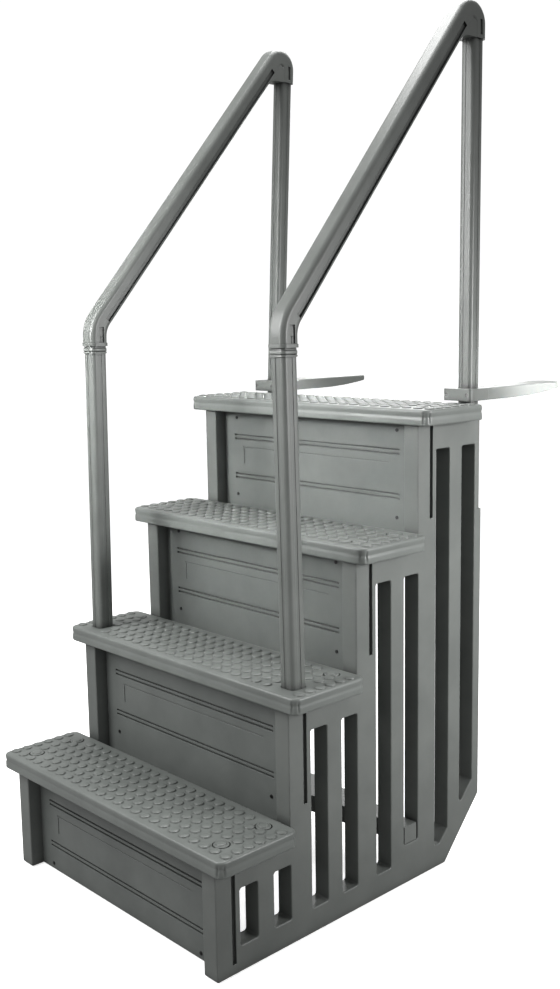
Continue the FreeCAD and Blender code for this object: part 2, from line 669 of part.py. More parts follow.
def cut_rail_sockets(body):
    """Square mouths for the post below and the leaning upright; the upright's mouth starts
    a little lower than the rail's end, which is square to the leaning axis."""
    lower = new_sketch(body, "lower_socket", lift="rail_bottom")
    add_round_square(lower, "(front_width / 2 + ring_gap)", "post_round")
    extrude(body, lower, "rail_bend_start - rail_bottom", "Pocket", reverse=True)
    mouth = "rail_end - mouth_cut"
    upper = new_sketch(body, "upper_socket", lift=mouth)
    add_round_square(upper, "(rear_width / 2 + ring_gap)", "post_round", "0", upright_at(mouth))
    extrude(body, upper, "upright_insert + mouth_cut", "Pocket", reverse=True, tilted=True)


def cut_rail_grooves(body):
    """Long channel down the slope and a short slot at each end, on both side faces."""
    near = "rail_groove_aside - rail_groove / 2"
    far = "rail_groove_aside + rail_groove / 2"
    elbow_middle = "rail_span + elbow_groove_aside"
    for name, sign in (("outer", "-"), ("inner", "")):
        outer = sign == "-"
        channel = new_sketch(body, name + "_channel", "YZ", sign + "rail_width / 2")
        add_polygon(channel, [along_slope(SLOPE_FOOT, "0", near), along_slope(SLOPE_FOOT, "0", far),
                              along_slope(SLOPE_HEAD, "-rail_groove_end", far),
                              along_slope(SLOPE_HEAD, "-rail_groove_end", near)])
        extrude(body, channel, "slope_groove_depth", "Pocket", reverse=outer)
        slots = new_sketch(body, name + "_slots", "YZ", sign + "rail_width / 2")
        add_rectangle(slots, "bend_groove_aside - rail_groove / 2",
                      "bend_groove_aside + rail_groove / 2",
                      "rail_bottom + groove_foot", "bend_groove_top")
        add_rectangle(slots, elbow_middle + " - elbow_groove / 2",
                      elbow_middle + " + elbow_groove / 2",
                      "rail_end + groove_foot", ELBOW_LEVEL + " + groove_foot")
        extrude(body, slots, "end_groove_depth", "Pocket", reverse=outer)


def make_hand_rail():
    body = new_body("left_hand_rail", RAIL_BASE, "rail_lean")
    section = new_sketch(body, "section", lift="rail_bottom")
    add_round_square(section, "(rail_width / 2)", "rail_round")
    path = new_sketch(body, "path", "YZ")
    add_rail_path(path)
    doc.recompute()
    sweep = body.newObject("PartDesign::AdditivePipe", "left_hand_rail_sweep")
    sweep.Profile = section
    sweep.Spine = path
    section.Visibility = False
    path.Visibility = False
    doc.recompute()
    fill_elbow(body)
    lip = new_sketch(body, "lip", lift="rail_bottom")
    add_round_square(lip, "(rail_width / 2 + lip_flare)", "(rail_round + lip_flare)")
    extrude(body, lip, "lip_height")
    cut_rail_sockets(body)
    cut_rail_grooves(body)
    return body


# ---- deck flanges: a collar round each rear upright and a tongue screwed to its back ----

FLANGE_RISE = "(flange_z + collar_height / 2 - %d * rise)" % POST_STEP
FLANGE_BASE = ("-socket_x + %s * tan(rail_lean)" % FLANGE_RISE,
               "run + socket_front + %s - depth_half" % upright_at(FLANGE_RISE), "flange_z")
TONGUE_TIP = "(2 * depth_half - run - socket_front - %s)" % upright_at(FLANGE_RISE)


def make_collar():
    body = new_body("left_flange_collar", FLANGE_BASE)
    block = new_sketch(body, "block")
    add_rectangle(block, "-collar_half", "collar_half", "-collar_front", "collar_back")
    extrude(body, block, "collar_height")
    round_edges(body, "front_corners", "collar_round",
                lambda edge: runs_along(edge, Z_AXIS) and edge.BoundBox.YMax < 0)
    bore = new_sketch(body, "bore")
    add_round_square(bore, "(rear_width / 2 + collar_gap)", "(post_round + collar_gap)")
    extrude(body, bore, "collar_height", "Pocket", reverse=True)
    holes = new_sketch(body, "screw_holes", "XZ", "collar_front")
    seats = new_sketch(body, "screw_seats", "XZ", "collar_front")
    for side in ("-clamp_x", "clamp_x"):
        add_circle(holes, side, "collar_height / 2", "clamp_radius")
        add_circle(seats, side, "collar_height / 2", "clamp_head_radius + clamp_seat_gap")
    extrude(body, seats, "clamp_head", "Pocket")
    extrude(body, holes, "collar_front + collar_back", "Pocket")
    return body


def make_tongue():
    body = new_body("left_flange_tongue", FLANGE_BASE)
    plan = new_sketch(body, "plan")
    add_rectangle(plan, "-collar_half", "collar_half", "collar_back", TONGUE_TIP)
    extrude(body, plan, "collar_height")
    root = value("collar_back + overrun")
    round_edges(body, "tip", "tongue_round",
                lambda edge: runs_along(edge, Z_AXIS) and edge.BoundBox.YMin > root)
    top = value("collar_height") - NEAR
    round_edges(body, "top_edge", "tongue_edge",
                lambda edge: edge.BoundBox.ZMin > top and edge.BoundBox.YMax > root)

    under = new_sketch(body, "underside", "YZ", "-collar_half - overrun")
    flat_end = "(collar_back + tongue_flat)"
    past_tip = TONGUE_TIP + " + overrun"
    curve = []
    for part in (0, 0.25, 0.5, 0.75):
        along = "%s + %g * (%s - %s)" % (flat_end, part, TONGUE_TIP, flat_end)
        curve.append((along, "%g * tongue_rise" % part ** 2))
    add_polygon(under, curve + [(past_tip, "tongue_rise"), (past_tip, "-overrun"),
                                (flat_end, "-overrun")])
    extrude(body, under, "2 * (collar_half + overrun)", "Pocket", reverse=True)

    deck = new_sketch(body, "deck_holes", lift="collar_height")
    seats = new_sketch(body, "deck_seats", lift="collar_height")
    for number in (0, 1):
        place = "collar_back + deck_hole_first + %d * deck_hole_pitch" % number
        add_circle(deck, "0", place, "deck_hole_radius")
        add_circle(seats, "0", place, "deck_seat_radius")
    extrude(body, seats, "deck_seat_depth", "Pocket")
    extrude(body, deck, "collar_height", "Pocket")
    holes = new_sketch(body, "screw_holes", "XZ", "-collar_back")
    for side in ("-clamp_x", "clamp_x"):
        add_circle(holes, side, "collar_height / 2", "clamp_radius")
    extrude(body, holes, "clamp_bite", "Pocket")
    return body


def make_flange_screws():
    body = new_body("left_flange_screws", FLANGE_BASE)
    body.AllowCompound = True
    heads = new_sketch(body, "heads", "XZ", "collar_front - clamp_head")
    shanks = new_sketch(body, "shanks", "XZ", "collar_front - clamp_head")
    for side in ("-clamp_x", "clamp_x"):
        add_circle(heads, side, "collar_height / 2", "clamp_head_radius")
        add_circle(shanks, side, "collar_height / 2", "clamp_radius")
    extrude(body, heads, "clamp_head - clamp_sink")
    extrude(body, shanks, "collar_front - clamp_head + collar_back + clamp_bite - clamp_sink",
            reverse=True)
    return body


for step in STEPS:
    make_tread(step)
    make_tread_screws(step)
    make_tread_caps(step)
    make_riser(step)
    make_riser_screws(step)
make_cross_tie()

PAIRED = [
    make_side_panel(),
    make_foot_pads(),
    make_tube("left_front_post", "front_width", "0", "-post_socket",
              "rail_bend_start - upright_end_gap"),
    make_coupler(),
    make_hand_rail(),
    make_tube("left_rear_upright", "rear_width", upright_at("upright_foot"), "upright_foot",
              "rail_end + upright_insert - upright_end_gap", tilted=True),
    make_collar(),
    make_tongue(),
    make_flange_screws(),
]
for piece in PAIRED:
    mirrored(piece, piece.Label.replace("left_", "right_"))
doc.recompute()

for item in doc.Objects:
    if "Invalid" in item.State or "Error" in item.State:
        raise RuntimeError("failed object: %s %s" % (item.Name, item.State))
for piece in PIECES:
    if piece.Shape.isNull() or not piece.Shape.isValid():
        raise RuntimeError("bad shape: " + piece.Label)

os.makedirs("parts", exist_ok=True)
for piece in PIECES:
    piece.Shape.exportStep("parts/%s.step" % piece.Label)
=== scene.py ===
import math

import bmesh
import bpy
from mathutils import Matrix, Vector


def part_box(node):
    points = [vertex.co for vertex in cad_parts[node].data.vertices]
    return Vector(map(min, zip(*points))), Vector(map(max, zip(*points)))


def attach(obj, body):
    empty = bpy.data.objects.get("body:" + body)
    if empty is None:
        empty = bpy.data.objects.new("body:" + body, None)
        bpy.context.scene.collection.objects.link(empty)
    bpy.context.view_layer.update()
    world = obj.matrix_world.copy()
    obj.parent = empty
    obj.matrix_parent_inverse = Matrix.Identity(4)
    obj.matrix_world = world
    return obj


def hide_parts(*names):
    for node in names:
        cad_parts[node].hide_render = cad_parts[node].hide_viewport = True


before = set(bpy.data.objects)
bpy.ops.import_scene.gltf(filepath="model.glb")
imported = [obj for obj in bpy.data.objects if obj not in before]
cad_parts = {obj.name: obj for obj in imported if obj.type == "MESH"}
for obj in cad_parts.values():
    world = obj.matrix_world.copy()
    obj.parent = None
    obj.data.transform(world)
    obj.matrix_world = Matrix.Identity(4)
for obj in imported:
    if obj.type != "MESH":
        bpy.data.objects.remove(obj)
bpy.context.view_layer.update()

SIDES = ("left", "right")
STEPS = (1, 2, 3, 4)
FULL_TURN = 2 * math.pi
QUARTER_TURN = math.pi / 2


# ---- materials ----

WHITE = (1.0, 1.0, 1.0, 1.0)

# sockets of the Mix and Mix Shader nodes, which share their names
MIX_BELOW = 6
MIX_ABOVE = 7
MIX_RESULT = 2
SHADER_BELOW = 1
SHADER_ABOVE = 2

# wear and painted highlight along edges: the roundness it is found by, and how far normals differ at
# its start and end
EDGE_RADIUS = 0.0016
EDGE_SAMPLES = 4
WEAR_SHEEN_START = 0.965
WEAR_SHEEN_FULL = 0.72

# painted shade in creases: how open a place is where the painted shade is full and where it ends
CREASE_SAMPLES = 6
CREASE_FULL = 0.35
CREASE_END = 0.92

PLASTIC_IOR = 1.5
MOTTLE = {"Scale": 9.0, "Detail": 5.0, "Roughness": 0.6}
MOTTLE_DARK_AT = 0.32
MOTTLE_LIGHT_AT = 0.72
SMEAR = {"Scale": 34.0, "Detail": 4.0}
GLOSSIER = 0.015
DULLER = 0.025
SKIN = {"Scale": 900.0, "Detail": 2.0}
SKIN_HEIGHT = 0.0006

BLOTCH = {"Scale": 260.0, "Detail": 4.0}
STEEL_GLOSSY = 0.28
STEEL_DULL = 0.5


def add_node(tree, kind, inputs=None, **settings):
    node = tree.nodes.new(kind)
    for name, value in settings.items():
        setattr(node, name, value)
    for name, value in (inputs or {}).items():
        node.inputs[name].default_value = value
    return node


def new_material(name):
    material = bpy.data.materials.new(name)
    material.use_nodes = True
    return material, material.node_tree, material.node_tree.nodes["Principled BSDF"]


def object_noise(tree, settings):
    """Noise that is fixed to the object."""
    place = add_node(tree, "ShaderNodeTexCoord")
    noise = add_node(tree, "ShaderNodeTexNoise", settings)
    tree.links.new(place.outputs["Object"], noise.inputs["Vector"])
    return noise.outputs["Fac"]


def tinted(tree, factor, dark, light, dark_at=0.0, light_at=1.0):
    """A colour between dark and light."""
    tint = add_node(tree, "ShaderNodeValToRGB")
    low, high = tint.color_ramp.elements
    low.position = dark_at
    low.color = (*dark, 1.0)
    high.position = light_at
    high.color = (*light, 1.0)
    tree.links.new(factor, tint.inputs["Fac"])
    return tint.outputs["Color"]


def mapped(tree, value, low, high, start=0.0, end=1.0):
    """A value that goes from low to high as the given one goes from start to end."""
    limits = {"From Min": start, "From Max": end, "To Min": low, "To Max": high}
    change = add_node(tree, "ShaderNodeMapRange", limits)
    tree.links.new(value, change.inputs["Value"])
    return change.outputs["Result"]


def edge_wear_and_sheen(tree):
    """1 on outer edges and 0 elsewhere: how far a rounded normal leaves the true one."""
    geometry = add_node(tree, "ShaderNodeNewGeometry")
    rounded = add_node(tree, "ShaderNodeBevel", {"Radius": EDGE_RADIUS}, samples=EDGE_SAMPLES)
    agree = add_node(tree, "ShaderNodeVectorMath", operation="DOT_PRODUCT")
    tree.links.new(rounded.outputs["Normal"], agree.inputs[0])
    tree.links.new(geometry.outputs["Normal"], agree.inputs[1])
    wear_and_sheen = mapped(tree, agree.outputs["Value"], 0.0, 1.0, WEAR_SHEEN_START, WEAR_SHEEN_FULL)
    return wear_and_sheen, rounded.outputs["Normal"]


def worn_and_sheened_colour(tree, colour, on_edge, wear_and_sheen_to):
    """The colour, going over to another along the edges: wear and painted highlight."""
    worn_and_sheened = add_node(tree, "ShaderNodeMix", data_type="RGBA", blend_type="MIX")
    tree.links.new(on_edge, worn_and_sheened.inputs["Factor"])
    tree.links.new(colour, worn_and_sheened.inputs[MIX_BELOW])
    worn_and_sheened.inputs[MIX_ABOVE].default_value = wear_and_sheen_to
    return worn_and_sheened.outputs[MIX_RESULT]


def crease_shaded_colour(tree, colour, crease_shade, reach):
    """The colour, dimmed to a share of itself in creases: painted shade."""
    crease = add_node(tree, "ShaderNodeAmbientOcclusion", {"Distance": reach}, samples=CREASE_SAMPLES)
    shade_share = mapped(tree, crease.outputs["AO"], crease_shade, 1.0, CREASE_FULL, CREASE_END)
    dimmed = add_node(tree, "ShaderNodeMix", {"Factor": 1.0}, data_type="RGBA", blend_type="MULTIPLY")
    tree.links.new(colour, dimmed.inputs[MIX_BELOW])
    tree.links.new(shade_share, dimmed.inputs[MIX_ABOVE])
    return dimmed.outputs[MIX_RESULT]


def pebbled_normal(tree, normal, pebble):
    """The normal, with a fine pebbled skin on it."""
    bump = add_node(tree, "ShaderNodeBump", {"Strength": pebble, "Distance": SKIN_HEIGHT})
    tree.links.new(object_noise(tree, SKIN), bump.inputs["Height"])
    tree.links.new(normal, bump.inputs["Normal"])
    return bump.outputs["Normal"]


def moulded_plastic(name, dark, light, rough, pebble=0.12, crease_shade=0.45, crease_reach=0.012,
                    wear_and_sheen=1.35):
    """Moulded plastic: faint mottling, painted shade in creases, edges lightened by wear and painted
    highlight, and a fine pebbled skin.
    """
    material, tree, shader = new_material(name)
    shader.inputs["IOR"].default_value = PLASTIC_IOR
    on_edge, rounded = edge_wear_and_sheen(tree)
    wear_and_sheen_to = tuple(min(1.0, part * wear_and_sheen) for part in light) + (1.0,)
    mottle = object_noise(tree, MOTTLE)
    colour = tinted(tree, mottle, dark, light, MOTTLE_DARK_AT, MOTTLE_LIGHT_AT)
    # wear and painted highlight: the colour lightens along the edges
    colour = worn_and_sheened_colour(tree, colour, on_edge, wear_and_sheen_to)
    # painted shade: the colour darkens in creases and hollows
    colour = crease_shaded_colour(tree, colour, crease_shade, crease_reach)
    gloss = mapped(tree, object_noise(tree, SMEAR), rough - GLOSSIER, rough + DULLER)
    tree.links.new(colour, shader.inputs["Base Color"])
    tree.links.new(gloss, shader.inputs["Roughness"])
    tree.links.new(pebbled_normal(tree, rounded, pebble), shader.inputs["Normal"])
    return material


def screw_steel(name, dark, light):
    """Plated screw steel, slightly blotched."""
    material, tree, shader = new_material(name)
    shader.inputs["Metallic"].default_value = 1.0
    blotch = object_noise(tree, BLOTCH)
    colour = tinted(tree, blotch, (dark, dark, dark), (light, light, light))
    tree.links.new(colour, shader.inputs["Base Color"])
    tree.links.new(mapped(tree, blotch, STEEL_GLOSSY, STEEL_DULL), shader.inputs["Roughness"])
    return material


# copies of one grey plastic in different tones: the riser copy is darker, painted shade under the
# tread noses, and the tread copy lighter, painted light on the treads' tops
TREAD = moulded_plastic("tread_plastic", (0.138, 0.149, 0.141), (0.172, 0.185, 0.175), 0.34,
                        crease_shade=0.03, crease_reach=0.006, wear_and_sheen=1.9)
PANEL = moulded_plastic("panel_plastic", (0.128, 0.137, 0.130), (0.158, 0.168, 0.159), 0.36,
                        crease_reach=0.03, wear_and_sheen=1.9)
RISER = moulded_plastic("riser_plastic", (0.118, 0.127, 0.121), (0.150, 0.161, 0.153), 0.34,
                        crease_shade=0.6, crease_reach=0.03, wear_and_sheen=1.6)
RAIL = moulded_plastic("rail_plastic", (0.128, 0.137, 0.129), (0.160, 0.170, 0.161), 0.36,
                       crease_shade=0.12, crease_reach=0.025, wear_and_sheen=2.0)
RUBBER = moulded_plastic("pad_rubber", (0.02, 0.02, 0.02), (0.04, 0.04, 0.04), 0.8, pebble=0.4)
STEEL = screw_steel("screw_steel", 0.34, 0.62)
DARK_STEEL = screw_steel("dark_screw_steel", 0.03, 0.08)
GREY_STEEL = screw_steel("grey_screw_steel", 0.13, 0.19)

# the first word that a node's name holds gives its material
NODE_MATERIALS = (
    ("riser_screws", DARK_STEEL),
    ("flange_screws", GREY_STEEL),
    ("screws", STEEL),
    ("foot_pads", RUBBER),
    ("tread", TREAD),
    ("riser", RISER),
    ("panel", PANEL),
    ("tie", PANEL),
)


def wanted_material(node_name):
    """The material of a CAD node: that of posts, rails and flanges unless its name says another."""
    for word, material in NODE_MATERIALS:
        if word in node_name:
            return material
    return RAIL


def dress(obj, material):
    obj.data.materials.clear()
    obj.data.materials.append(material)


for node_name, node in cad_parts.items():
    dress(node, wanted_material(node_name))


# ---- mesh helpers ----

SHARP_ANGLE = math.radians(38)
CORNERS = ((1, 1), (-1, 1), (-1, -1), (1, -1))


def new_piece(name, mesh_data, material, body):
    """Makes an object from a bmesh, smooth shaded except at sharp edges."""
    mesh = bpy.data.meshes.new(name)
    mesh_data.to_mesh(mesh)
    mesh_data.free()
    piece = bpy.data.objects.new(name, mesh)
    bpy.context.scene.collection.objects.link(piece)
    mesh.materials.append(material)
    mesh.shade_smooth()
    mesh.set_sharp_from_angle(angle=SHARP_ANGLE)
    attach(piece, body)
    return piece


def round_outline(half_width, half_depth, radius, count=6, fluted=0.0):
    """Points of a rectangle with round corners, anticlockwise; fluted is how deep two upright
    flutes are cut in each corner."""
    points = []
    for turn, (side_x, side_y) in enumerate(CORNERS):
        middle = (side_x * (half_width - radius), side_y * (half_depth - radius))
        for number in range(count + 1):
            part = number / count
            reach = radius - fluted * max(0.0, -math.cos(2 * FULL_TURN * part)) ** 2
            angle = (turn + part) * QUARTER_TURN
            points.append((middle[0] + reach * math.cos(angle), middle[1] + reach * math.sin(angle)))
    return points


def circle(middle, radius, height, count):
    """Points of a level circle, anticlockwise."""
    angles = [FULL_TURN * number / count for number in range(count)]
    return [(middle[0] + radius * math.cos(angle), middle[1] + radius * math.sin(angle), height)
            for angle in angles]


def ring_loft(form, rings, close_last=False):
    """Joins rings of equally many points by quads; returns the first and last ring's vertices."""
    loops = [[form.verts.new(point) for point in ring] for ring in rings]
    for lower, upper in zip(loops, loops[1:]):
        for index in range(len(lower)):
            follower = (index + 1) % len(lower)
            form.faces.new((lower[index], lower[follower], upper[follower], upper[index]))
    if close_last:
        form.faces.new(loops[-1])
    return loops[0], loops[-1]


def loop_edges(form, loop):
    """The edges round a loop of vertices, made where there are none."""
    pairs = [(loop[index - 1], loop[index]) for index in range(len(loop))]
    return [form.edges.get(pair) or form.edges.new(pair) for pair in pairs]


def turned(form, middle, profile, count):
    """Round shape from (radius, height) pairs; the last radius is on the axis."""
    rings = [circle(middle, radius, middle[2] + height, count) for radius, height in profile[:-1]]
    first, last = ring_loft(form, rings)
    tip = form.verts.new((middle[0], middle[1], middle[2] + profile[-1][1]))
    for index in range(count):
        form.faces.new((last[index - 1], last[index], tip))
    return first


def turn_out(loop):
    """Flips the faces that hang on a loop and everything joined to it."""
    reached = set(loop)
    waiting = list(loop)
    while waiting:
        vertex = waiting.pop()
        for edge in vertex.link_edges:
            other = edge.other_vert(vertex)
            if other not in reached:
                reached.add(other)
                waiting.append(other)
    for face in {face for vertex in reached for face in vertex.link_faces}:
        face.normal_flip()


# ---- treads ----

TREAD_THICK = 0.039
TREAD_WALL = 0.004
TREAD_CORNER = 0.020
LEAST_CORNER = 0.003
CORNER_COUNT = 16
RISER_GAP = 0.0005
WALL_FOOT = 0.001

# the rim: round foot, hollowed and fluted apron, round nose
FOOT_ROUND = 0.0032
FOOT_TURNS = (0, 0.5, 1.0, QUARTER_TURN)
NOSE_ROUND = 0.0062
NOSE_TURNS = (0, 0.3, 0.6, 0.9, 1.2, QUARTER_TURN)
APRON_COUNT = 12
APRON_HOLLOW = 0.0016
HOLLOW_MIDDLE = 0.62
HOLLOW_SPREAD = 0.16
CORNER_FLUTE = 0.0022
FLUTE_FADE = 0.4

# caps and the seats they sit in
CAP_RADIUS = 0.0198
CAP_HOLE = 0.0208
CAP_SEAT = 0.009
CAP_COUNT = 32
SEAT_CHAMFER = 0.0006
CAP_PROFILE = [(0.0184, -CAP_SEAT), (0.0184, 0.0002), (0.0179, 0.0010), (0.0170, 0.0014),
               (0.0124, 0.0014), (0.0122, 0.0024), (0.0116, 0.0031), (0.0100, 0.0037),
               (0.0060, 0.0041), (0.0, 0.0042)]

# nubs: (share of the radius, height) pairs, and the grid they stand on
NUB_RADIUS = 0.0122
NUB_SHARES = [(1.0, -0.0004), (1.0, 0.0017), (0.95, 0.0025), (0.82, 0.0031), (0.6, 0.0036),
              (0.3, 0.0040), (0.0, 0.0041)]
NUB_PROFILE = [(NUB_RADIUS * share, height) for share, height in NUB_SHARES]
NUB_COUNT = 24
NUB_COLUMNS = 25
NUB_ROWS = 6
NUB_PITCH_X = 0.0358
NUB_PITCH_Y = 0.033
NUB_FIRST = 0.032
NUB_OFF_CAP = CAP_HOLE + NUB_RADIUS * 0.45
NUB_OFF_POST = 0.040

# wells that the front posts stand in
POST_STEP = 2
POST_HALF = 0.0231
WELL_HALF = 0.0237
WELL_ROUND = 0.0105
WELL_DEPTH = 0.033

# ribs and screw bosses under the top
RIB_PLACES = range(-3, 4)
RIB_PITCH = 0.112
RIB_HALF = 0.0015
RIB_FOOT = 0.031
RIB_HEAD = 0.0035
BOSS_ASIDE = 0.378
BOSS_ROWS = (0.063, 0.189)
BOSS_COUNT = 28
BOSS_PROFILE = [(0.027, 0.0345), (0.027, 0.0), (0.0, 0.0)]


def cap_middles(step):
    """Middles of one tread's caps, from the CAD caps' own box, at the tread's top."""
    low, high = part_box("tread_caps_%d" % step)
    rows = [low.y + CAP_RADIUS, high.y - CAP_RADIUS]
    if rows[1] - rows[0] < CAP_RADIUS:
        rows = [(low.y + high.y) / 2]
    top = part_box("riser_panel_%d" % step)[1].z + TREAD_THICK + RISER_GAP
    return [Vector((side * (high.x - CAP_RADIUS), row, top)) for side in (-1, 1) for row in rows]


def tread_top(step):
    return cap_middles(step)[0].z


def post_foot(side):
    """Middle of a front post where it enters its tread."""
    near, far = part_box(side + "_front_post")
    foot_x = near.x + POST_HALF if side == "left" else far.x - POST_HALF
    return foot_x, (near.y + far.y) / 2


def nub_middles(step):
    """Middles of the nubs: a grid, left open round the caps and the posts."""
    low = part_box("tread_%d" % step)[0]
    top = tread_top(step)
    keep_off = [(spot.x, spot.y, NUB_OFF_CAP) for spot in cap_middles(step)]
    if step == POST_STEP:
        keep_off += [(*post_foot(side), NUB_OFF_POST) for side in SIDES]
    for column in range(NUB_COLUMNS):
        for row in range(NUB_ROWS):
            across = (column - (NUB_COLUMNS - 1) / 2) * NUB_PITCH_X
            deep = low.y + NUB_FIRST + row * NUB_PITCH_Y
            if all(math.hypot(across - x, deep - y) > reach for x, y, reach in keep_off):
                yield Vector((across, deep, top))


def shell_rings(low, high, top):
    """A tread's shell: up inside the wall, round its foot and up its apron to the rim."""
    middle = Vector(((low.x + high.x) / 2, (low.y + high.y) / 2))
    half_width = (high.x - low.x) / 2
    half_depth = (high.y - low.y) / 2
    foot = top - TREAD_THICK

    def ring(inset, height, fluted=0.0):
        corner = max(TREAD_CORNER - inset, LEAST_CORNER)
        outline = round_outline(half_width - inset, half_depth - inset, corner, CORNER_COUNT, fluted)
        return [(middle.x + x, middle.y + y, height) for x, y in outline]

    rings = [ring(TREAD_WALL, top - TREAD_WALL), ring(TREAD_WALL, foot + WALL_FOOT)]
    for turn in FOOT_TURNS:
        rings.append(ring(FOOT_ROUND * (1 - math.sin(turn)), foot + FOOT_ROUND * (1 - math.cos(turn))))
    apron_low = foot + FOOT_ROUND
    apron_high = top - NOSE_ROUND
    for number in range(1, APRON_COUNT):
        part = number / APRON_COUNT
        hollow = APRON_HOLLOW * math.exp(-((part - HOLLOW_MIDDLE) / HOLLOW_SPREAD) ** 2)
        fluted = CORNER_FLUTE * math.sin(math.pi * part) ** FLUTE_FADE
        rings.append(ring(hollow, apron_low + part * (apron_high - apron_low), fluted))
    for turn in NOSE_TURNS:
        rings.append(ring(NOSE_ROUND * (1 - math.cos(turn)), top - NOSE_ROUND * (1 - math.sin(turn))))
    return rings


def add_cap_seats(form, step, top):
    """Round pockets for the caps; returns the edges of their mouths."""
    mouths = []
    for spot in cap_middles(step):
        seat = [circle(spot, CAP_HOLE + SEAT_CHAMFER, top, CAP_COUNT),
                circle(spot, CAP_HOLE, top - SEAT_CHAMFER, CAP_COUNT),
                circle(spot, CAP_HOLE, top - CAP_SEAT, CAP_COUNT)]
        mouth, _ = ring_loft(form, seat, close_last=True)
        mouths += loop_edges(form, mouth)
    return mouths


def add_post_wells(form, top):
    """Square pockets that the posts stand in; returns the edges of their mouths."""
    mouths = []
    outline = round_outline(WELL_HALF, WELL_HALF, WELL_ROUND)
    for side in SIDES:
        foot_x, foot_y = post_foot(side)
        well = [[(foot_x + x, foot_y + y, top - depth) for x, y in outline]
                for depth in (0.0, WELL_DEPTH)]
        mouth, _ = ring_loft(form, well, close_last=True)
        mouths += loop_edges(form, mouth)
    return mouths


def close_top(form, edges):
    """Fills the top between its rim and the mouths of its pockets, facing up."""
    filled = bmesh.ops.triangle_fill(form, use_beauty=True, use_dissolve=False, edges=edges)
    for face in filled["geom"]:
        if isinstance(face, bmesh.types.BMFace):
            face.normal_update()
            if face.normal.z < 0:
                face.normal_flip()


def add_ribs(form, low, high, top):
    """Thin walls under a tread, from front to back."""
    middle = Vector(((low.x + high.x) / 2, (low.y + high.y) / 2))
    half_depth = (high.y - low.y) / 2 - TREAD_WALL / 2
    outline = ((RIB_HALF, half_depth), (-RIB_HALF, half_depth),
               (-RIB_HALF, -half_depth), (RIB_HALF, -half_depth))
    for place in RIB_PLACES:
        rib = [[(middle.x + place * RIB_PITCH + x, middle.y + y, top - depth) for x, y in outline]
               for depth in (RIB_HEAD, RIB_FOOT)]
        head, _ = ring_loft(form, rib, close_last=True)
        turn_out(head)


def add_bosses(form, low, top):
    """Round bosses under a tread's corners, for its screws or, on the post step, its posts."""
    for side in (-1, 1):
        for row in BOSS_ROWS:
            middle = (side * BOSS_ASIDE, low.y + row, top - TREAD_THICK)
            turn_out(turned(form, middle, BOSS_PROFILE, BOSS_COUNT))


def make_tread(step):
    """Open-bottomed tread: rounded rim, studded top, cap seats, inner ribs and bosses."""
    low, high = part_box("tread_%d" % step)
    top = tread_top(step)
    form = bmesh.new()
    inner, rim = ring_loft(form, shell_rings(low, high, top))
    form.faces.new(reversed(inner))
    edges = loop_edges(form, rim) + add_cap_seats(form, step, top)
    if step == POST_STEP:
        edges += add_post_wells(form, top)
    close_top(form, edges)
    for spot in nub_middles(step):
        turned(form, spot, NUB_PROFILE, NUB_COUNT)
    add_ribs(form, low, high, top)
    add_bosses(form, low, top)
    tread = new_piece("tread_top_%d" % step, form, TREAD, "steps")
    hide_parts("tread_%d" % step)


def make_caps(step):
    """Raised round caps over a tread's screws."""
    form = bmesh.new()
    for spot in cap_middles(step):
        turned(form, spot, CAP_PROFILE, CAP_COUNT)
    caps = new_piece("cap_set_%d" % step, form, TREAD, "steps")
    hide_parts("tread_caps_%d" % step)


for step in STEPS:
    make_tread(step)
    make_caps(step)


# ---- couplers: the stepped rings between the front posts and the handrails ----

POST_LEAN = math.radians(1.18)
RING_ROUND = 0.0105
RING_COUNT = 8
RING_PROFILE = [(0.0231, -0.0092), (0.0243, -0.0093), (0.0249, -0.0087), (0.0250, -0.0056),
                (0.0246, -0.0047), (0.0234, -0.0044), (0.0233, -0.0034), (0.0244, -0.0029),
                (0.0247, -0.0018), (0.0246, 0.0040), (0.0240, 0.0052), (0.0234, 0.0058),
                (0.0233, 0.0092), (0.0231, 0.0092)]


def make_coupler(side):
    """Square stepped ring, leaning inwards with its post and open along its middle."""
    low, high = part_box(side + "_rail_coupler")
    middle = (low + high) / 2
    lean = Matrix.Rotation(POST_LEAN if side == "left" else -POST_LEAN, 3, "Y")
    form = bmesh.new()
    rings = []
    for half, height in RING_PROFILE:
        outline = round_outline(half, half, RING_ROUND, RING_COUNT)
        rings.append([middle + lean @ Vector((x, y, height)) for x, y in outline])
    first, last = ring_loft(form, rings)
    for index in range(len(first)):
        follower = (index + 1) % len(first)
        form.faces.new((last[index], last[follower], first[follower], first[index]))
    ring = new_piece(side + "_rail_ring", form, RAIL, "steps")
    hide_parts(side + "_rail_coupler")


for side in SIDES:
    make_coupler(side)


# ---- floor, light and camera ----

FLOOR_REACH = 40.0
FLOOR_COLOUR = (0.9, 0.9, 0.9, 1.0)
FLOOR_ROUGH = 0.9
FLOOR_GLOW = 0.75
FLOOR_LIT_BY = (0.30, 0.30, 0.30, 1.0)
WORLD_LIGHT = 0.42
WORLD_SEEN = 1.05
WIDE_SPREAD = 180

# name, where it stands, what it points at, size in metres, power in watts, spread in degrees
LIGHTS = (
    ("key", (-0.8, -1.9, 2.3), (0, 0.1, 1.1), 1.6, 60, WIDE_SPREAD),
    ("upper_key", (-0.9, -2.4, 2.0), (0, 0.2, 1.12), 0.7, 3.6, 30),
    ("top", (-0.4, 0.9, 3.6), (0, -0.2, 0.5), 1.8, 85, WIDE_SPREAD),
    ("tongue", (2.2, 1.9, 1.7), (0.36, 0.58, 1.26), 0.3, 1.3, 8),
    ("side", (2.6, 1.0, 1.45), (0.4, 0.2, 0.85), 0.9, 9, 52),
    ("back", (-1.8, 2.6, 2.0), (0, 0, 1.2), 1.2, 18, WIDE_SPREAD),
)

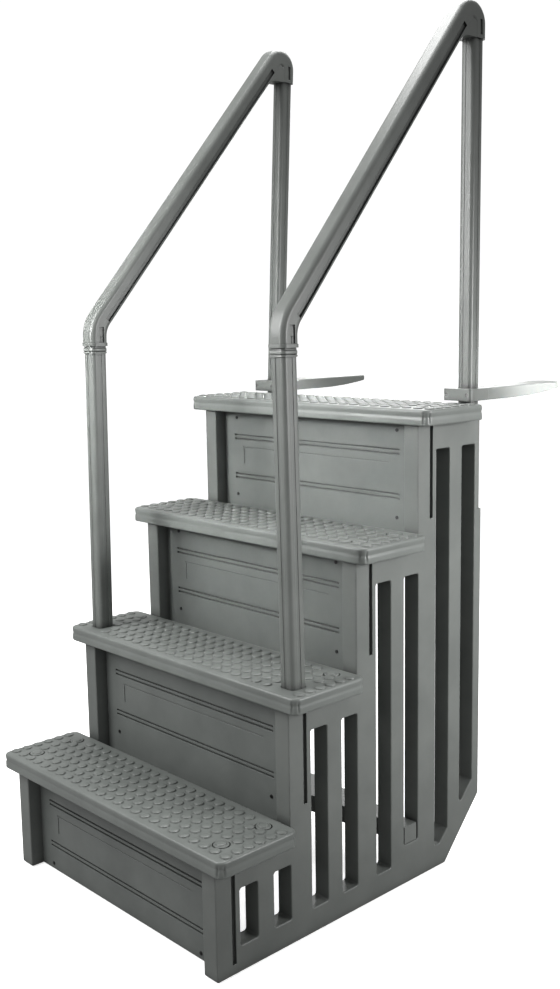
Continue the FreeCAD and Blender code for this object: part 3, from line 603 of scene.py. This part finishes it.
CAMERA_SPOT = Vector((2.1754, -2.1114, 1.4456))
CAMERA_AZIMUTH = math.radians(46.87)
CAMERA_DOWN = math.radians(8.60)
CAMERA_ROLL = math.radians(-0.96)
CAMERA_SHIFT = (0.0068, -0.0052)
SENSOR_WIDTH = 36.0
LONG_SIDE = 989
FOCAL = 1133.5
STRAIGHT_UP = Vector((0, 0, 1))


def seen_or_lighting(tree, lighting, seen, output):
    """Shows one shader to the camera and lights the object with the other."""
    rays = add_node(tree, "ShaderNodeLightPath")
    either = add_node(tree, "ShaderNodeMixShader")
    tree.links.new(rays.outputs["Is Camera Ray"], either.inputs["Fac"])
    tree.links.new(lighting, either.inputs[SHADER_BELOW])
    tree.links.new(seen, either.inputs[SHADER_ABOVE])
    tree.links.new(either.outputs["Shader"], tree.nodes[output].inputs["Surface"])


def make_stage():
    """Plain pale floor, white to the camera and duller to the object."""
    mesh = bpy.data.meshes.new("floor")
    outline = [(-FLOOR_REACH, -FLOOR_REACH, 0), (FLOOR_REACH, -FLOOR_REACH, 0),
               (FLOOR_REACH, FLOOR_REACH, 0), (-FLOOR_REACH, FLOOR_REACH, 0)]
    mesh.from_pydata(outline, [], [(0, 1, 2, 3)])
    floor = bpy.data.objects.new("floor", mesh)
    bpy.context.scene.collection.objects.link(floor)
    material, tree, shader = new_material("floor_paper")
    shader.inputs["Base Color"].default_value = FLOOR_COLOUR
    shader.inputs["Roughness"].default_value = FLOOR_ROUGH
    shader.inputs["Emission Color"].default_value = WHITE
    shader.inputs["Emission Strength"].default_value = FLOOR_GLOW
    dull = add_node(tree, "ShaderNodeBsdfDiffuse", {"Color": FLOOR_LIT_BY})
    seen_or_lighting(tree, dull.outputs["BSDF"], shader.outputs["BSDF"], "Material Output")
    mesh.materials.append(material)


def add_area(name, spot, target, size, power, spread):
    """A square soft light."""
    data = bpy.data.lights.new(name, "AREA")
    data.size = size
    data.energy = power
    data.spread = math.radians(spread)
    lamp = bpy.data.objects.new(name, data)
    bpy.context.scene.collection.objects.link(lamp)
    lamp.location = spot
    aim = Vector(target) - Vector(spot)
    lamp.rotation_euler = aim.to_track_quat("-Z", "Y").to_euler()


def make_world():
    """Plain surroundings, white to the camera and duller to the object."""
    world = bpy.data.worlds.new("studio")
    bpy.context.scene.world = world
    world.use_nodes = True
    tree = world.node_tree
    lit = tree.nodes["Background"]
    lit.inputs["Color"].default_value = WHITE
    lit.inputs["Strength"].default_value = WORLD_LIGHT
    seen = add_node(tree, "ShaderNodeBackground", {"Color": WHITE, "Strength": WORLD_SEEN})
    seen_or_lighting(tree, lit.outputs["Background"], seen.outputs["Background"], "World Output")


def make_camera():
    """Camera at the photograph's place, angle and frame."""
    data = bpy.data.cameras.new("camera")
    data.sensor_width = SENSOR_WIDTH
    data.lens = FOCAL / LONG_SIDE * data.sensor_width
    data.shift_x, data.shift_y = CAMERA_SHIFT
    camera = bpy.data.objects.new("camera", data)
    bpy.context.scene.collection.objects.link(camera)
    forward = Vector((-math.sin(CAMERA_AZIMUTH) * math.cos(CAMERA_DOWN),
                      math.cos(CAMERA_AZIMUTH) * math.cos(CAMERA_DOWN), -math.sin(CAMERA_DOWN)))
    right = forward.cross(STRAIGHT_UP).normalized()
    above = right.cross(forward)
    rolled_right = math.cos(CAMERA_ROLL) * right + math.sin(CAMERA_ROLL) * above
    rolled_above = math.cos(CAMERA_ROLL) * above - math.sin(CAMERA_ROLL) * right
    pose = Matrix((rolled_right, rolled_above, -forward)).transposed().to_4x4()
    camera.matrix_world = Matrix.Translation(CAMERA_SPOT) @ pose
    bpy.context.scene.camera = camera


make_stage()
make_world()
bpy.context.scene.view_settings.view_transform = "Standard"
for light in LIGHTS:
    add_area(*light)
make_camera()
